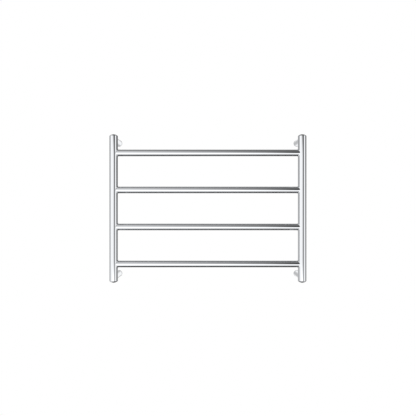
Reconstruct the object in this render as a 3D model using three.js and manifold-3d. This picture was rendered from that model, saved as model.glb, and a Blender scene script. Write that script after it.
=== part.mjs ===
// A wall-hung towel warmer rack: a welded ladder of polished stainless tube that slips over four wall
// bosses, and is warmed by one cable that runs back and forth through its bars.
// Units are millimetres and +Z is up. The origin is the middle of the rack on the wall plane, y = 0.
// The rack's front faces -Y. Each piece is drawn about its own middle and placed by its mesh.
import * as THREE from "three";
import { mergeVertices } from "three/addons/utils/BufferGeometryUtils.js";
import Module from "manifold-3d";

const wasm = await Module();
wasm.setup();

// Overall sizes
const RACK_WIDTH = 750; // over the outer sides of the posts
const RACK_HEIGHT = 565; // over the crowns of the end caps
const PROJECTION = 120; // from the wall to the front of the posts

// Posts, bars and end caps
const POST_DIAMETER = 32;
const POST_WALL = 1.5;
const BAR_DIAMETER = 25;
const BAR_WALL = 1.2;
const BAR_COUNT = 4;
const BAR_PITCH = 141;
const CABLE_WAY_DIAMETER = 18; // hole in a post behind each bar's end
const CAP_CROWN = 7; // how far an end cap's dome rises
const CAP_PLUG_LENGTH = 6.5;
const CAP_PLUG_WALL = 3.4;
const CAP_ROOF = 1.2; // solid metal below the dome's rim
const SEAL_SECTION = 1.8; // thickness of the cap's sealing ring

// Legs and their fixing to the wall
const LEG_DIAMETER = 25;
const LEG_WALL = 3;
const LEG_INSET = 20; // from the rack's top or bottom to a leg's axis
const FLANGE_DIAMETER = 26;
const FLANGE_THICKNESS = 3;
const SPIGOT_LENGTH = 25; // how far a boss reaches into its leg
const SPIGOT_WALL = 1.2;
const BOSS_WEB = 4; // metal between a boss's cup and the wall
const BOSS_CHAMFER = 0.8;
const SCREW_HOLE_DIAMETER = 5.2; // for a 5 mm wall screw
const SCREW_HEAD_DIAMETER = 8; // its pan head, which needs room in the cup
const GRUB_DIAMETER = 4;
const GRUB_LENGTH = 3;
const GRUB_SETBACK = 14; // from the wall to the grub screws
const GRUB_SOCKET = 2; // across the flats of the hexagon socket
const GRUB_SOCKET_DEPTH = 1.6;
const SCREW_CHAMFER = 0.3;

// Heating cable and wiring
const HEATING_CABLE_DIAMETER = 4.5;
const HEATING_CABLE_BEND = 18; // radius of the cable's axis in a bend
const END_SEAL_DIAMETER = 6.8;
const END_SEAL_LENGTH = 20;
const END_SEAL_SETBACK = 34; // from the last post's axis to the seal
const FLEX_DIAMETER = 4.8;
const SPLICE_DIAMETER = 10;
const SPLICE_LENGTH = 42;
const SPLICE_LEAD = 6; // straight cable between the splice and the first bend
const SLEEVE_CHAMFER = 0.8;
const SUPPLY_WAY_DIAMETER = 14; // hole in the post behind the supply leg
const GROMMET_WALL = 0.6;
const GROMMET_LIP = 0.8; // how far its collar overlaps the web
const GROMMET_LIP_THICKNESS = 1;

// Earth bond inside the foot of the supply post
const EARTH_PLATE_DEPTH = 4.5; // from the post's bore in to the plate's face
const EARTH_PLATE_THICKNESS = 1.2;
const EARTH_PLATE_HEIGHT = 13;
const EARTH_PLATE_RISE = 1.5; // of the plate's middle above the leg's axis
const EARTH_SCREW_DIAMETER = 3;
const EARTH_SCREW_HEAD_DIAMETER = 5.5;
const EARTH_SCREW_HEAD_HEIGHT = 1.8;
const EARTH_SCREW_OVERRUN = 1; // thread past the plate
const EARTH_SLOT_DEPTH = 0.9; // of the cross in the screw's head
const EARTH_SLOT_WIDTH = 0.8;
const EARTH_SLOT_LENGTH = 3;
const EARTH_TAG_DIAMETER = 6;
const EARTH_TAG_THICKNESS = 0.8;
const EARTH_BARREL_DIAMETER = 2.6;
const EARTH_BARREL_LENGTH = 4;
const EARTH_BARREL_REACH = 3.4; // from the screw's axis to the barrel
const EARTH_WIRE_DIAMETER = 1.8;

// Clearances
const GAP = 0.3; // between pieces that touch or are welded
const SEAL_ROOM = 0.6; // between a cap's plug and the post's bore
const CUT_PAST = 1; // how far a cutter runs past what it cuts

// Facets
const POST_SIDES = 32;
const BAR_SIDES = 24;
const LEG_SIDES = 24;
const HOLE_SIDES = 20;
const SCREW_SIDES = 16;
const CABLE_SIDES = 10;
const WIRE_SIDES = 8;
const DOME_STEPS = 4;
const BEND_STEPS = 6;
const RING_STEPS = 6;

// Places worked out from the sizes
const POST_RADIUS = POST_DIAMETER / 2;
const POST_BORE = POST_RADIUS - POST_WALL;
const POST_X = RACK_WIDTH / 2 - POST_RADIUS;
const POST_Y = POST_RADIUS - PROJECTION;
const CAP_SEAT = RACK_HEIGHT / 2 - CAP_CROWN;
const POST_END = CAP_SEAT - GAP;
const BAR_RADIUS = BAR_DIAMETER / 2;
const BAR_BORE = BAR_RADIUS - BAR_WALL;
const SADDLE_RADIUS = POST_RADIUS + GAP;
const LEG_RADIUS = LEG_DIAMETER / 2;
const LEG_BORE = LEG_RADIUS - LEG_WALL;
const LEG_Z = RACK_HEIGHT / 2 - LEG_INSET;
const LEG_FOOT = -(FLANGE_THICKNESS + GAP);
const SPIGOT_RADIUS = LEG_BORE - GAP;
const CUP_RADIUS = SPIGOT_RADIUS - SPIGOT_WALL;
const SPIGOT_TIP = -(FLANGE_THICKNESS + SPIGOT_LENGTH);
const GROMMET_BORE = FLEX_DIAMETER / 2 + GAP;
const GROMMET_RADIUS = GROMMET_BORE + GROMMET_WALL;
const CABLE_HOLE_RADIUS = GROMMET_RADIUS + GAP;
const COLLAR_RADIUS = GROMMET_RADIUS + GROMMET_LIP;
const CABLE_HOLE_OFFSET = CUP_RADIUS - COLLAR_RADIUS - GAP; // below the boss's axis
const SCREW_HOLE_OFFSET = CUP_RADIUS - SCREW_HEAD_DIAMETER / 2 - GAP; // above it
const SPLICE_FAR = POST_Y + HEATING_CABLE_BEND + SPLICE_LEAD;
const SPLICE_NEAR = SPLICE_FAR + SPLICE_LENGTH;
const EARTH_PLATE_OFFSET = POST_BORE - EARTH_PLATE_DEPTH; // from the post's axis to the plate
const EARTH_Z = -LEG_Z + EARTH_PLATE_RISE;
const TAG_FACE = EARTH_PLATE_OFFSET - GAP; // the tag's side against the plate
const HEAD_FACE = TAG_FACE - EARTH_TAG_THICKNESS - GAP; // the screw head's side against the tag

// Bars from the top down
const barHeights = [];
for (let i = 0; i < BAR_COUNT; i++) {
  barHeights.push(((BAR_COUNT - 1) / 2 - i) * BAR_PITCH);
}

// The four corners, seen from the front. The supply comes in through the lower right leg.
const corners = [
  { name: "upper_left", side: -1, level: 1 },
  { name: "upper_right", side: 1, level: 1 },
  { name: "lower_left", side: -1, level: -1 },
  { name: "lower_right", side: 1, level: -1 },
];
const supplySide = 1;

// ---------------------------------------------------------------- solids

/** Turns three.js's own axis, Y, to the axis named. */
const turnTo = {
  x: new THREE.Matrix4().makeRotationZ(-Math.PI / 2),
  y: new THREE.Matrix4(),
  z: new THREE.Matrix4().makeRotationX(Math.PI / 2),
};

/** A round rod along an axis through the origin, between two places on it. */
function rod(axis, radius, from, to, sides) {
  const geometry = new THREE.CylinderGeometry(radius, radius, Math.abs(to - from), sides);
  geometry.translate(0, (from + to) / 2, 0);
  return geometry.applyMatrix4(turnTo[axis]);
}

/** A turned piece: profile holds [radius, place along the axis], and rises along the axis outside. */
function turned(axis, profile, sides) {
  const points = profile.map(([radius, along]) => new THREE.Vector2(radius, along));
  return new THREE.LatheGeometry(points, sides).applyMatrix4(turnTo[axis]);
}

/** A closed geometry as a solid that can be joined and cut. */
function solidOf(geometry) {
  const bare = geometry.clone();
  bare.deleteAttribute("normal");
  bare.deleteAttribute("uv");
  const merged = mergeVertices(bare, 1e-4);
  const mesh = new wasm.Mesh({
    numProp: 3,
    vertProperties: merged.attributes.position.array,
    triVerts: new Uint32Array(merged.index.array),
  });
  return new wasm.Manifold(mesh);
}

/** A solid back as a geometry with flat faces. */
function geometryOf(solid) {
  const mesh = solid.getMesh();
  const geometry = new THREE.BufferGeometry();
  geometry.setAttribute("position", new THREE.BufferAttribute(mesh.vertProperties, 3));
  geometry.setIndex(new THREE.BufferAttribute(mesh.triVerts, 1));
  const flat = geometry.toNonIndexed();
  flat.computeVertexNormals();
  return flat;
}

/** The body with every cutter taken away. */
function cut(body, cutters) {
  return geometryOf(cutters.reduce((solid, cutter) => solid.subtract(solidOf(cutter)), solidOf(body)));
}

/** All the bodies joined into one. */
function joined(bodies) {
  return geometryOf(bodies.map(solidOf).reduce((all, body) => all.add(body)));
}

/** A path through chosen stations, so a straight run takes one step and a bend takes several. */
class StationPath extends THREE.Curve {
  constructor(stations) {
    super();
    this.stations = stations;
  }

  getPointAt(share) {
    return this.stations[Math.round(share * (this.stations.length - 1))].clone();
  }

  getTangentAt(share) {
    const last = this.stations.length - 1;
    const here = Math.round(share * last);
    const before = this.stations[Math.max(here - 1, 0)];
    const after = this.stations[Math.min(here + 1, last)];
    return after.clone().sub(before).normalize();
  }
}

/** Stations of a route with square corners, each rounded to the bend radius. */
function roundedRoute(points, bend) {
  const stations = [points[0]];
  for (let i = 1; i < points.length - 1; i++) {
    const way = points[i].clone().sub(points[i - 1]).normalize();
    const next = points[i + 1].clone().sub(points[i]).normalize();
    const centre = points[i].clone().addScaledVector(way, -bend).addScaledVector(next, bend);
    for (let step = 0; step <= BEND_STEPS; step++) {
      const turn = ((step / BEND_STEPS) * Math.PI) / 2;
      const station = centre.clone().addScaledVector(next, -bend * Math.cos(turn));
      stations.push(station.addScaledVector(way, bend * Math.sin(turn)));
    }
  }
  stations.push(points[points.length - 1]);
  return stations;
}

/** A round cable along a path of so many steps. */
function cable(path, steps, diameter, sides) {
  const section = [];
  for (let i = 0; i < sides; i++) {
    const angle = (i / sides) * 2 * Math.PI;
    section.push(new THREE.Vector2(Math.cos(angle), Math.sin(angle)).multiplyScalar(diameter / 2));
  }
  return new THREE.ExtrudeGeometry(new THREE.Shape(section), { steps, extrudePath: path, bevelEnabled: false });
}

/** A plain sleeve along an axis, with its ends chamfered. */
function sleeve(axis, radius, from, to) {
  const profile = [
    [0, from],
    [radius - SLEEVE_CHAMFER, from],
    [radius, from + SLEEVE_CHAMFER],
    [radius, to - SLEEVE_CHAMFER],
    [radius - SLEEVE_CHAMFER, to],
    [0, to],
  ];
  return turned(axis, profile, HOLE_SIDES);
}

// ---------------------------------------------------------------- the ladder

/** A post, drilled on its inner side behind each bar, and at the back for the supply. */
function postShape(side) {
  const cutters = [rod("z", POST_BORE, -POST_END - CUT_PAST, POST_END + CUT_PAST, POST_SIDES)];
  for (const height of barHeights) {
    const way = rod("x", CABLE_WAY_DIAMETER / 2, 0, -side * (POST_RADIUS + CUT_PAST), HOLE_SIDES);
    cutters.push(way.translate(0, 0, height));
  }
  if (side === supplySide) {
    const way = rod("y", SUPPLY_WAY_DIAMETER / 2, 0, POST_RADIUS + CUT_PAST, HOLE_SIDES);
    cutters.push(way.translate(0, 0, -LEG_Z));
  }
  return cut(rod("z", POST_RADIUS, -POST_END, POST_END, POST_SIDES), cutters);
}

/** A bar, coped at both ends to sit on the round of the posts. */
function barShape() {
  const cutters = [rod("x", BAR_BORE, -POST_X - CUT_PAST, POST_X + CUT_PAST, BAR_SIDES)];
  for (const side of [-1, 1]) {
    const reach = BAR_RADIUS + CUT_PAST;
    cutters.push(rod("z", SADDLE_RADIUS, -reach, reach, POST_SIDES).translate(side * POST_X, 0, 0));
  }
  return cut(rod("x", BAR_RADIUS, -POST_X, POST_X, BAR_SIDES), cutters);
}

/** A leg from its wall flange to its post, coped to the post and drilled below for its grub screw. */
function legShape() {
  const reach = LEG_RADIUS + CUT_PAST;
  const grubHole = rod("z", GRUB_DIAMETER / 2 + GAP, -reach, 0, HOLE_SIDES);
  return cut(rod("y", LEG_RADIUS, POST_Y, LEG_FOOT, LEG_SIDES), [
    rod("y", LEG_BORE, POST_Y - CUT_PAST, LEG_FOOT + CUT_PAST, LEG_SIDES),
    rod("z", SADDLE_RADIUS, -reach, reach, POST_SIDES).translate(0, POST_Y, 0),
    grubHole.translate(0, -GRUB_SETBACK, 0),
  ]);
}

const SEAL_OUTER = POST_BORE - GAP;
const SEAL_RADIUS = SEAL_OUTER - SEAL_SECTION / 2; // of the ring through the middle of its section
const PLUG_RADIUS = POST_BORE - SEAL_ROOM;
const GROOVE_RADIUS = SEAL_OUTER - SEAL_SECTION - GAP;
const GROOVE_HALF = SEAL_SECTION / 2 + GAP;
const GROOVE_PLACE = -CAP_PLUG_LENGTH / 2;

/** A domed end cap with a grooved plug. The dome's rim is at 0, and the plug is below it. */
function capShape() {
  const domeRadius = (POST_RADIUS ** 2 + CAP_CROWN ** 2) / (2 * CAP_CROWN);
  const domeAngle = Math.asin(POST_RADIUS / domeRadius);
  const plugBore = PLUG_RADIUS - CAP_PLUG_WALL;
  const profile = [
    [0, -CAP_ROOF],
    [plugBore, -CAP_ROOF],
    [plugBore, -CAP_PLUG_LENGTH],
    [PLUG_RADIUS, -CAP_PLUG_LENGTH],
    [PLUG_RADIUS, GROOVE_PLACE - GROOVE_HALF],
    [GROOVE_RADIUS, GROOVE_PLACE - GROOVE_HALF],
    [GROOVE_RADIUS, GROOVE_PLACE + GROOVE_HALF],
    [PLUG_RADIUS, GROOVE_PLACE + GROOVE_HALF],
    [PLUG_RADIUS, 0],
  ];
  for (let step = DOME_STEPS; step >= 0; step--) {
    const angle = (step / DOME_STEPS) * domeAngle;
    profile.push([domeRadius * Math.sin(angle), CAP_CROWN - domeRadius * (1 - Math.cos(angle))]);
  }
  return turned("z", profile, POST_SIDES);
}

// ---------------------------------------------------------------- the wall fixing

/** A wall boss: a flange on the wall and a cupped spigot inside the leg. */
function bossShape() {
  const flange = FLANGE_DIAMETER / 2;
  const profile = [
    [0, -BOSS_WEB],
    [CUP_RADIUS, -BOSS_WEB],
    [CUP_RADIUS, SPIGOT_TIP],
    [SPIGOT_RADIUS - BOSS_CHAMFER, SPIGOT_TIP],
    [SPIGOT_RADIUS, SPIGOT_TIP + BOSS_CHAMFER],
    [SPIGOT_RADIUS, -FLANGE_THICKNESS],
    [flange - BOSS_CHAMFER, -FLANGE_THICKNESS],
    [flange, -FLANGE_THICKNESS + BOSS_CHAMFER],
    [flange, 0],
    [0, 0],
  ];
  const reach = BOSS_WEB + CUT_PAST;
  const screwHole = rod("y", SCREW_HOLE_DIAMETER / 2, -reach, CUT_PAST, HOLE_SIDES);
  const cableHole = rod("y", CABLE_HOLE_RADIUS, -reach, CUT_PAST, HOLE_SIDES);
  return cut(turned("y", profile, LEG_SIDES), [
    screwHole.translate(0, 0, SCREW_HOLE_OFFSET),
    cableHole.translate(0, 0, -CABLE_HOLE_OFFSET),
  ]);
}

/** A grub screw with its tip up and its hexagon socket below, measured from the leg's axis. */
function grubShape() {
  const tip = -(SPIGOT_RADIUS + GAP);
  const tail = tip - GRUB_LENGTH;
  const radius = GRUB_DIAMETER / 2;
  const profile = [
    [0, tail],
    [radius - SCREW_CHAMFER, tail],
    [radius, tail + SCREW_CHAMFER],
    [radius, tip - SCREW_CHAMFER],
    [radius - SCREW_CHAMFER, tip],
    [0, tip],
  ];
  const socket = rod("z", GRUB_SOCKET / Math.sqrt(3), tail - CUT_PAST, tail + GRUB_SOCKET_DEPTH, 6);
  return cut(turned("z", profile, SCREW_SIDES), [socket]);
}

/** The grommet in the supply boss's cable hole, with its collar inside the cup. */
function grommetShape() {
  const seat = -(BOSS_WEB + GAP);
  const collar = seat - GROMMET_LIP_THICKNESS;
  const profile = [
    [GROMMET_BORE, -GAP],
    [GROMMET_BORE, collar],
    [COLLAR_RADIUS, collar],
    [COLLAR_RADIUS, seat],
    [GROMMET_RADIUS, seat],
    [GROMMET_RADIUS, -GAP],
    [GROMMET_BORE, -GAP],
  ];
  return turned("y", profile, HOLE_SIDES);
}

// ---------------------------------------------------------------- heating and wiring

/** The heating cable: in from the supply leg, up its post, and through every bar in turn. */
function heatingCableShape() {
  const route = [
    new THREE.Vector3(supplySide * POST_X, SPLICE_FAR - GAP, -LEG_Z),
    new THREE.Vector3(supplySide * POST_X, POST_Y, -LEG_Z),
  ];
  let side = supplySide;
  for (const height of [...barHeights].reverse()) {
    route.push(new THREE.Vector3(side * POST_X, POST_Y, height));
    side = -side;
    route.push(new THREE.Vector3(side * POST_X, POST_Y, height));
  }
  route[route.length - 1].x = side * (POST_X - END_SEAL_SETBACK - END_SEAL_LENGTH - GAP);
  const stations = roundedRoute(route, HEATING_CABLE_BEND);
  return cable(new StationPath(stations), stations.length - 1, HEATING_CABLE_DIAMETER, CABLE_SIDES);
}

/** The flex from the wall, through the grommet, to the splice in the middle of the leg. */
function supplyFlexShape() {
  const straight = -(BOSS_WEB + 3); // it runs straight through the web and the grommet's collar
  const level = SPLICE_NEAR + 5; // and straight again into the splice
  const along = (share) => straight + share * (level - straight);
  const points = [
    [-GAP, -CABLE_HOLE_OFFSET],
    [straight, -CABLE_HOLE_OFFSET],
    [along(0.25), -CABLE_HOLE_OFFSET * 0.9],
    [along(0.5), -CABLE_HOLE_OFFSET * 0.5],
    [along(0.75), -CABLE_HOLE_OFFSET * 0.1],
    [level, 0],
    [SPLICE_NEAR + GAP, 0],
  ];
  const path = new THREE.CatmullRomCurve3(points.map(([y, z]) => new THREE.Vector3(0, y, z)));
  return cable(path, 14, FLEX_DIAMETER, CABLE_SIDES);
}

/** The plate welded across the supply post's bore, with a tapped hole for the earth screw. */
function earthPlateShape() {
  const back = EARTH_PLATE_OFFSET + EARTH_PLATE_THICKNESS;
  const width = 2 * (Math.sqrt(POST_BORE ** 2 - back ** 2) - GAP);
  const plate = new THREE.BoxGeometry(EARTH_PLATE_THICKNESS, width, EARTH_PLATE_HEIGHT);
  plate.translate((EARTH_PLATE_OFFSET + back) / 2, 0, 0);
  const hole = rod("x", EARTH_SCREW_DIAMETER / 2 + GAP, 0, back + CUT_PAST, SCREW_SIDES);
  return cut(plate, [hole]);
}

/** The earth screw, its head towards the post's axis, with a cross slot. */
function earthScrewShape() {
  const top = HEAD_FACE - EARTH_SCREW_HEAD_HEIGHT;
  const end = EARTH_PLATE_OFFSET + EARTH_PLATE_THICKNESS + EARTH_SCREW_OVERRUN;
  const head = EARTH_SCREW_HEAD_DIAMETER / 2;
  const shank = EARTH_SCREW_DIAMETER / 2;
  const profile = [
    [0, top],
    [head - SCREW_CHAMFER, top],
    [head, top + SCREW_CHAMFER],
    [head, HEAD_FACE],
    [shank, HEAD_FACE],
    [shank, end - SCREW_CHAMFER],
    [shank - SCREW_CHAMFER, end],
    [0, end],
  ];
  const slots = [
    new THREE.BoxGeometry(2 * EARTH_SLOT_DEPTH, EARTH_SLOT_LENGTH, EARTH_SLOT_WIDTH),
    new THREE.BoxGeometry(2 * EARTH_SLOT_DEPTH, EARTH_SLOT_WIDTH, EARTH_SLOT_LENGTH),
  ].map((slot) => slot.translate(top, 0, 0));
  return cut(turned("x", profile, SCREW_SIDES), slots);
}

const BARREL_X = HEAD_FACE - EARTH_TAG_THICKNESS / 2; // the crimped barrel stands towards the axis

/** The ring tag under the earth screw, with a crimped barrel towards the leg. */
function earthTagShape() {
  const back = TAG_FACE;
  const front = TAG_FACE - EARTH_TAG_THICKNESS;
  const tongue = EARTH_BARREL_DIAMETER;
  const barrelEnd = EARTH_BARREL_REACH + EARTH_BARREL_LENGTH;
  const strip = new THREE.BoxGeometry(EARTH_TAG_THICKNESS, EARTH_BARREL_REACH + 1, tongue);
  const barrel = rod("y", EARTH_BARREL_DIAMETER / 2, EARTH_BARREL_REACH, barrelEnd, SCREW_SIDES);
  const body = joined([
    rod("x", EARTH_TAG_DIAMETER / 2, front, back, HOLE_SIDES),
    strip.translate((front + back) / 2, (EARTH_BARREL_REACH + 1) / 2, 0),
    barrel.translate(BARREL_X, 0, 0),
  ]);
  const hole = rod("x", EARTH_SCREW_DIAMETER / 2 + GAP, front - CUT_PAST, back + CUT_PAST, SCREW_SIDES);
  return cut(body, [hole]);
}

/** The earth wire, from the splice to the tag's barrel, measured from the post's axis. */
function earthWireShape() {
  const start = SPLICE_FAR - GAP - POST_Y;
  const end = EARTH_BARREL_REACH + EARTH_BARREL_LENGTH + GAP;
  const points = [
    [3.5, start, -EARTH_PLATE_RISE],
    [3.7, start - 4, -EARTH_PLATE_RISE],
    [4, POST_RADIUS, -EARTH_PLATE_RISE * 0.8],
    [4.9, POST_BORE - 1.3, -EARTH_PLATE_RISE * 0.5],
    [BARREL_X - 0.9, end + 2.8, -EARTH_PLATE_RISE * 0.1],
    [BARREL_X, end + 1, 0],
    [BARREL_X, end, 0],
  ];
  const path = new THREE.CatmullRomCurve3(points.map((point) => new THREE.Vector3(...point)));
  return cable(path, 12, EARTH_WIRE_DIAMETER, WIRE_SIDES);
}

// ---------------------------------------------------------------- finishes

const polishedStainless = { color: 0xdfe3e6, roughness: 0.06, metalness: 1 };
const turnedStainless = { color: 0xc2c5c8, roughness: 0.28, metalness: 1 };
const screwSteel = { color: 0x9a9da1, roughness: 0.35, metalness: 1 };
const sealRubber = { color: 0x1d1e20, roughness: 0.8, metalness: 0 };
const heatingSilicone = { color: 0x8c2f22, roughness: 0.6, metalness: 0 };
const flexSheath = { color: 0xe9e9e6, roughness: 0.5, metalness: 0 };
const heatShrink = { color: 0x17181a, roughness: 0.55, metalness: 0 };
const tinnedBrass = { color: 0xc9c4b4, roughness: 0.3, metalness: 1 };
const earthInsulation = { color: 0x5f9c2f, roughness: 0.45, metalness: 0 };

// ---------------------------------------------------------------- assembly

const rack = new THREE.Group();

/** Adds one named piece to the rack, with its own material. */
function add(name, geometry, finish, x, y, z) {
  const mesh = new THREE.Mesh(geometry, new THREE.MeshStandardMaterial(finish));
  mesh.name = name;
  mesh.position.set(x, y, z);
  rack.add(mesh);
  return mesh;
}

add("left_post", postShape(-1), polishedStainless, -POST_X, POST_Y, 0);
add("right_post", postShape(1), polishedStainless, POST_X, POST_Y, 0);
barHeights.forEach((height, i) => {
  add(`towel_bar_${i + 1}`, barShape(), polishedStainless, 0, POST_Y, height);
});

for (const { name, side, level } of corners) {
  const x = side * POST_X;
  const legZ = level * LEG_Z;
  const cap = add(`${name}_end_cap`, capShape(), polishedStainless, x, POST_Y, level * CAP_SEAT);
  cap.rotation.x = level > 0 ? 0 : Math.PI;
  const seal = new THREE.TorusGeometry(SEAL_RADIUS, SEAL_SECTION / 2, RING_STEPS, BAR_SIDES);
  add(`${name}_cap_seal`, seal, sealRubber, x, POST_Y, level * (CAP_SEAT + GROOVE_PLACE));
  add(`${name}_leg`, legShape(), polishedStainless, x, 0, legZ);
  add(`${name}_wall_boss`, bossShape(), turnedStainless, x, 0, legZ);
  add(`${name}_grub_screw`, grubShape(), screwSteel, x, -GRUB_SETBACK, legZ);
}

const supplyX = supplySide * POST_X;
add("cable_grommet", grommetShape(), sealRubber, supplyX, 0, -LEG_Z - CABLE_HOLE_OFFSET);
add("supply_flex", supplyFlexShape(), flexSheath, supplyX, 0, -LEG_Z);
const splice = sleeve("y", SPLICE_DIAMETER / 2, SPLICE_FAR, SPLICE_NEAR);
add("splice_sleeve", splice, heatShrink, supplyX, 0, -LEG_Z);
add("heating_cable", heatingCableShape(), heatingSilicone, 0, 0, 0);

// The cable ends in the top bar, at the end that its last run reaches.
const lastSide = BAR_COUNT % 2 ? -supplySide : supplySide;
const sealNear = POST_X - END_SEAL_SETBACK - END_SEAL_LENGTH;
const endSeal = sleeve("x", END_SEAL_DIAMETER / 2, sealNear, sealNear + END_SEAL_LENGTH);
endSeal.rotateZ(lastSide > 0 ? 0 : Math.PI);
add("heating_cable_end_seal", endSeal, heatShrink, 0, POST_Y, barHeights[0]);

add("earth_plate", earthPlateShape(), turnedStainless, supplyX, POST_Y, EARTH_Z);
add("earth_screw", earthScrewShape(), screwSteel, supplyX, POST_Y, EARTH_Z);
add("earth_tag", earthTagShape(), tinnedBrass, supplyX, POST_Y, EARTH_Z);
add("earth_wire", earthWireShape(), earthInsulation, supplyX, POST_Y, EARTH_Z);

export default rack;
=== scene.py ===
"""Looks for a wall-hung towel warmer rack: polished stainless tube, domed caps, coped and welded joints.

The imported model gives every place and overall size. This script builds the fine surface of each piece
around it, in metres, gives it a material, and sets a plain pale studio with a camera in front.
"""

import math

import bmesh
import bpy
from mathutils import Matrix, Vector


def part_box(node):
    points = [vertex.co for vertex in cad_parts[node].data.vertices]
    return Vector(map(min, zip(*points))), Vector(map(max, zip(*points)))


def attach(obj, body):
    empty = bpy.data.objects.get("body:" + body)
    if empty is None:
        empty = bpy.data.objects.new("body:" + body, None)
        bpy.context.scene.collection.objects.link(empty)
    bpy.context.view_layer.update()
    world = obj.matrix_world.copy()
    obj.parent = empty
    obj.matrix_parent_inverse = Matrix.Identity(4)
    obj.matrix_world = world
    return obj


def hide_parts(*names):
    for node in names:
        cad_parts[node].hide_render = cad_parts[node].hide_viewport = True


bl_info = {
    "name": "Towel warmer rack",
    "version": (1, 0, 0),
    "blender": (4, 5, 0),
    "location": "View3D > Sidebar > Towel rack",
    "description": "Builds the fine surface, the finishes and the studio of a heated towel rack",
    "category": "Object",
}

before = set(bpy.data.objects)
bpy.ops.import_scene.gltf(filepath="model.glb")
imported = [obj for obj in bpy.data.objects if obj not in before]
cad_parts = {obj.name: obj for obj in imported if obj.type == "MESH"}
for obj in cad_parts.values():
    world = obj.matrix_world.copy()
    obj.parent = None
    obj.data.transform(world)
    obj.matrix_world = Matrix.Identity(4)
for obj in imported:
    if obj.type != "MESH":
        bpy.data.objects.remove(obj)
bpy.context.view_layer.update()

MM = 0.001
X, Y, Z = 0, 1, 2

# ------------------------------------------------------------------ places and sizes from the frame

CORNERS = {"upper_left": (-1, 1), "upper_right": (1, 1), "lower_left": (-1, -1), "lower_right": (1, -1)}
SUPPLY = "lower_right"
SUPPLY_SIDE = CORNERS[SUPPLY][0]


def middle(node):
    """The middle of a CAD node's box."""
    low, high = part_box(node)
    return (low + high) / 2


def width(node, axis):
    """The size of a CAD node's box along one axis."""
    low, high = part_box(node)
    return high[axis] - low[axis]


POST_RADIUS = width("right_post", X) / 2
POST_X = middle("right_post").x
POST_Y = middle("right_post").y
RACK_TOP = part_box("upper_right_end_cap")[1].z
BAR_NAMES = sorted(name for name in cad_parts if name.startswith("towel_bar_"))
BAR_RADIUS = width(BAR_NAMES[0], Z) / 2
BAR_HEIGHTS = [middle(name).z for name in BAR_NAMES]
LEG_RADIUS = width("upper_right_leg", X) / 2
LEG_Z = middle("upper_right_leg").z
LEG_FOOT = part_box("upper_right_leg")[1].y
FLANGE_RADIUS = width("upper_right_wall_boss", X) / 2
BOSS_DEPTH = width("upper_right_wall_boss", Y)
CAP_DEPTH = width("upper_right_end_cap", Z)
GRUB_RADIUS = width("upper_right_grub_screw", X) / 2
GRUB_Y = middle("upper_right_grub_screw").y

# Fine sizes that the frame's boxes don't give.
GAP = 0.3 * MM  # between pieces that fit into each other
GUARD = 1.6 * MM  # from a drilled hole to the rows of points that keep the tube round beside it
OVERRUN = 2 * MM  # how far a drill goes on past a wall
SUNK = 0.6 * MM  # how far a coped end reaches into the post's wall
HOLD = 0.3 * MM  # from a weld's edge to the row of points that keeps the tube straight beside it
GRUB_GUARD = 3.2 * MM  # from a grub screw's axis to such rows beside its hole
THREAD_RIDGE = 0.42  # of the pitch, from a thread's core to its crest
BAR_WAY = 9 * MM  # radius of the hole in a post behind a bar
SUPPLY_WAY = 7 * MM  # radius of the hole in the post behind the supply leg


# ------------------------------------------------------------------ what a user would change


def metres(name, description, default):
    """A length that a user would change, in metres."""
    return bpy.props.FloatProperty(name=name, description=description, default=default, unit="LENGTH")


class RackSizes(bpy.types.PropertyGroup):
    """Sizes of the rack that the frame's boxes don't give."""

    post_wall: metres("Post wall", "Thickness of the posts' tube", 1.5 * MM)
    bar_wall: metres("Bar wall", "Thickness of the bars' tube", 1.2 * MM)
    leg_wall: metres("Leg wall", "Thickness of the legs' tube", 3 * MM)
    spigot_wall: metres("Spigot wall", "Thickness of a wall boss's cup", 1.2 * MM)
    bar_weld: metres("Bar weld", "Radius of the polished weld round a bar's end", 3.2 * MM)
    leg_weld: metres("Leg weld", "Radius of the polished weld round a leg's end", 2 * MM)
    cap_crown: metres("Cap crown", "Rise of an end cap's dome", 7 * MM)
    cap_shoulder: metres("Cap shoulder", "Radius of the edge round the dome", 1 * MM)
    cap_seam: metres("Cap seam", "Width of the hairline between cap and post", 0.12 * MM)
    cable_diameter: metres("Heating cable", "Diameter of the heating cable", 4.5 * MM)
    cable_bend: metres("Cable bend", "Radius of the heating cable's bends", 18 * MM)
    flex_diameter: metres("Supply flex", "Diameter of the supply flex", 4.8 * MM)
    earth_wire_diameter: metres("Earth wire", "Diameter of the earth wire", 1.8 * MM)


def hex_colour(name, description, default):
    """A text property that holds a colour as sRGB hex."""
    return bpy.props.StringProperty(name=name, description=description, default=default)


class RackColours(bpy.types.PropertyGroup):
    """Base colours of the finishes, as sRGB hex."""

    stainless: hex_colour("Polished stainless", "Mirror-polished tube and caps", "#eff1f4")
    turned: hex_colour("Turned stainless", "Wall bosses and earth plate, as turned", "#c9ccd0")
    screw: hex_colour("Screw steel", "Grub screws and earth screw", "#a4a7ab")
    rubber: hex_colour("Seal rubber", "Sealing rings and grommet", "#1c1d1f")
    silicone: hex_colour("Heating cable", "Silicone jacket of the heating cable", "#8f3324")
    flex: hex_colour("Supply flex", "Sheath of the supply flex", "#e4e4df")
    shrink: hex_colour("Heat-shrink", "Splice sleeve and end seal", "#17181a")
    tinned: hex_colour("Tinned brass", "Earth tag", "#c9c3b2")
    earth_green: hex_colour("Earth green", "Green stripe of the earth wire", "#2f8a35")
    earth_yellow: hex_colour("Earth yellow", "Yellow stripe of the earth wire", "#e3c62c")
    floor: hex_colour("Floor", "Pale studio floor", "#f1f0ee")


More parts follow.
